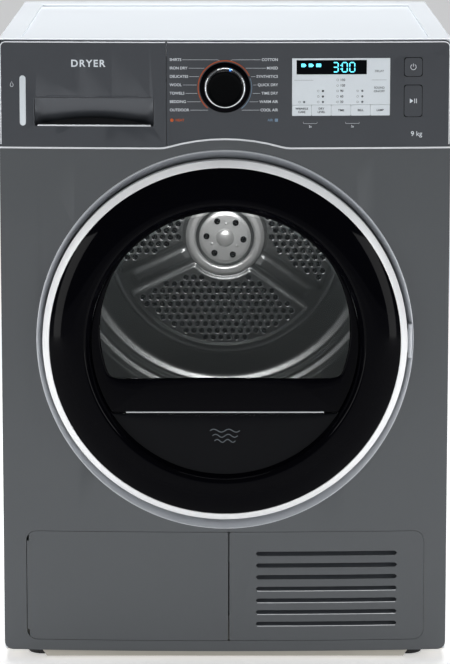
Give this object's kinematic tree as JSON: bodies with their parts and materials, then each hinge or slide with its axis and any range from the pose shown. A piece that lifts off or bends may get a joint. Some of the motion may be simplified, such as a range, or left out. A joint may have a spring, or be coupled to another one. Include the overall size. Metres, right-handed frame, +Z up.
{
  "type": "clothes dryer",
  "caption": "Freestanding front-loading heat-pump clothes dryer with round glass door, water-tank drawer, programme knob, keys, service flap and air grille.",
  "frame": {"origin": "centre of the footprint on the floor", "axes": "+X to the right seen from the front, +Y to the rear, +Z up"},
  "size_m": [0.6, 0.625, 0.85],
  "materials": {
    "white_enamel": "gloss enamel",
    "silver_panel": "satin metallic paint",
    "graphite_fascia": "satin graphite plastic",
    "bright_trim": "bright strip",
    "door_silver": "satin silver",
    "white_bezel": "pearl white",
    "gloss_black": "piano black",
    "smoked_glass": "tinted pane",
    "clear_glass": "clear bowl",
    "stainless": "brushed",
    "galvanised": "zinc-coated sheet",
    "rubber": "matt",
    "grey_plastic": "moulded",
    "light_keys": "satin light grey",
    "beige_plastic": "moulded base",
    "blue_plastic": "moulded",
    "circuit_board": "board",
    "copper_fins": "copper-coloured fins",
    "black_steel": "black paint",
    "dark_plastic": "moulded"
  },
  "bodies": {
    "cabinet": {"base_pan": "beige_plastic", "left_side_panel": "white_enamel", "right_side_panel": "white_enamel", "rear_panel": "galvanised", "rear_duct_cover": "galvanised", "rear_bearing": "galvanised", "front_panel": "silver_panel", "air_grille": "silver_panel", "door_surround": "door_silver", "front_bulkhead": "galvanised", "top_frame": "white_enamel", "top_panel": "white_enamel", "control_fascia": "graphite_fascia", "lower_trim": "bright_trim", "display_plate": "light_keys", "display_screen": "gloss_black", "control_board": "circuit_board", "dial_ring": "gloss_black", "tank_housing": "grey_plastic", "door_lock": "dark_plastic", "hinge_plate": "stainless", "drum_belt": "rubber", "drive_motor": "galvanised", "compressor": "black_steel", "evaporator": "galvanised", "condenser": "copper_fins", "cord_gland": "rubber"},
    "door": {"door_ring": "white_bezel", "door_cover": "gloss_black", "door_window": "smoked_glass", "door_liner": "grey_plastic", "door_bowl": "clear_glass", "door_seal": "rubber", "door_hook": "stainless", "hinge_arm": "stainless"},
    "drum": {"drum_shell": "stainless", "drum_back": "stainless", "drum_shaft": "stainless", "lifter_left": "grey_plastic", "lifter_right": "grey_plastic"},
    "left_roller": {"roller_left": "rubber"},
    "right_roller": {"roller_right": "rubber"},
    "rotor": {"motor_pulley": "stainless", "fan_wheel": "grey_plastic"},
    "drawer": {"drawer_front": "graphite_fascia", "water_tank": "grey_plastic"},
    "flap": {"service_flap": "silver_panel"},
    "filter": {"lint_filter": "blue_plastic"},
    "knob": {"program_knob": "gloss_black"},
    "power": {"power_button": "graphite_fascia"},
    "start": {"start_button": "graphite_fascia"},
    "wrinkle": {"wrinkle_key": "light_keys"},
    "dry_level": {"dry_level_key": "light_keys"},
    "time": {"time_key": "light_keys"},
    "bell": {"bell_key": "light_keys"},
    "lamp": {"lamp_key": "light_keys"},
    "front_left_foot": {"foot_front_left": "rubber"},
    "front_right_foot": {"foot_front_right": "rubber"},
    "rear_left_foot": {"foot_rear_left": "rubber"},
    "rear_right_foot": {"foot_rear_right": "rubber"}
  },
  "joints": [
    {"name": "door_hinge", "type": "hinge", "parent": "cabinet", "child": "door", "pos_m": [0.248, -0.2855, 0.4444], "axis": [0, 0, 1], "range_deg": [0, 150]},
    {"name": "flap_hinge", "type": "hinge", "parent": "cabinet", "child": "flap", "pos_m": [-0.2675, -0.27725, 0.03], "axis": [0, 0, -1], "range_deg": [0, 90]},
    {"name": "drum_spin", "type": "hinge", "parent": "cabinet", "child": "drum", "pos_m": [0, 0.2445, 0.502], "axis": [0, 1, 0], "continuous": true},
    {"name": "roller_left_spin", "type": "hinge", "parent": "cabinet", "child": "left_roller", "pos_m": [-0.17741, -0.1875, 0.24864], "axis": [0, 1, 0], "continuous": true},
    {"name": "roller_right_spin", "type": "hinge", "parent": "cabinet", "child": "right_roller", "pos_m": [0.17741, -0.1875, 0.24864], "axis": [0, 1, 0], "continuous": true},
    {"name": "rotor_spin", "type": "hinge", "parent": "cabinet", "child": "rotor", "pos_m": [0.172, -0.1255, 0.112], "axis": [0, 1, 0], "continuous": true},
    {"name": "tank_slide", "type": "slide", "parent": "cabinet", "child": "drawer", "axis": [0, -1, 0], "range_m": [0, 0.4]},
    {"name": "filter_slide", "type": "slide", "parent": "cabinet", "child": "filter", "axis": [0, 0, 1], "range_m": [0, 0.12]},
    {"name": "knob_turn", "type": "hinge", "parent": "cabinet", "child": "knob", "pos_m": [0, -0.2885, 0.7857], "axis": [0, -1, 0], "continuous": true},
    {"name": "power_press", "type": "slide", "parent": "cabinet", "child": "power", "axis": [0, 1, 0], "range_m": [0, 0.0015], "stiffness_N_per_m": 400, "springref_m": -0.001},
    {"name": "start_press", "type": "slide", "parent": "cabinet", "child": "start", "axis": [0, 1, 0], "range_m": [0, 0.0015], "stiffness_N_per_m": 400, "springref_m": -0.001},
    {"name": "wrinkle_press", "type": "slide", "parent": "cabinet", "child": "wrinkle", "axis": [0, 1, 0], "range_m": [0, 0.001], "stiffness_N_per_m": 400, "springref_m": -0.001},
    {"name": "dry_level_press", "type": "slide", "parent": "cabinet", "child": "dry_level", "axis": [0, 1, 0], "range_m": [0, 0.001], "stiffness_N_per_m": 400, "springref_m": -0.001},
    {"name": "time_press", "type": "slide", "parent": "cabinet", "child": "time", "axis": [0, 1, 0], "range_m": [0, 0.001], "stiffness_N_per_m": 400, "springref_m": -0.001},
    {"name": "bell_press", "type": "slide", "parent": "cabinet", "child": "bell", "axis": [0, 1, 0], "range_m": [0, 0.001], "stiffness_N_per_m": 400, "springref_m": -0.001},
    {"name": "lamp_press", "type": "slide", "parent": "cabinet", "child": "lamp", "axis": [0, 1, 0], "range_m": [0, 0.001], "stiffness_N_per_m": 400, "springref_m": -0.001},
    {"name": "foot_front_left_adjust", "type": "slide", "parent": "cabinet", "child": "front_left_foot", "axis": [0, 0, -1], "range_m": [0, 0.015]},
    {"name": "foot_front_right_adjust", "type": "slide", "parent": "cabinet", "child": "front_right_foot", "axis": [0, 0, -1], "range_m": [0, 0.015]},
    {"name": "foot_rear_left_adjust", "type": "slide", "parent": "cabinet", "child": "rear_left_foot", "axis": [0, 0, -1], "range_m": [0, 0.015]},
    {"name": "foot_rear_right_adjust", "type": "slide", "parent": "cabinet", "child": "rear_right_foot", "axis": [0, 0, -1], "range_m": [0, 0.015]}
  ],
  "couplings": [
    {"joint": "roller_left_spin", "follows": "drum_spin", "ratio": -11.36},
    {"joint": "roller_right_spin", "follows": "drum_spin", "ratio": -11.36},
    {"joint": "rotor_spin", "follows": "drum_spin", "ratio": 23.667}
  ]
}
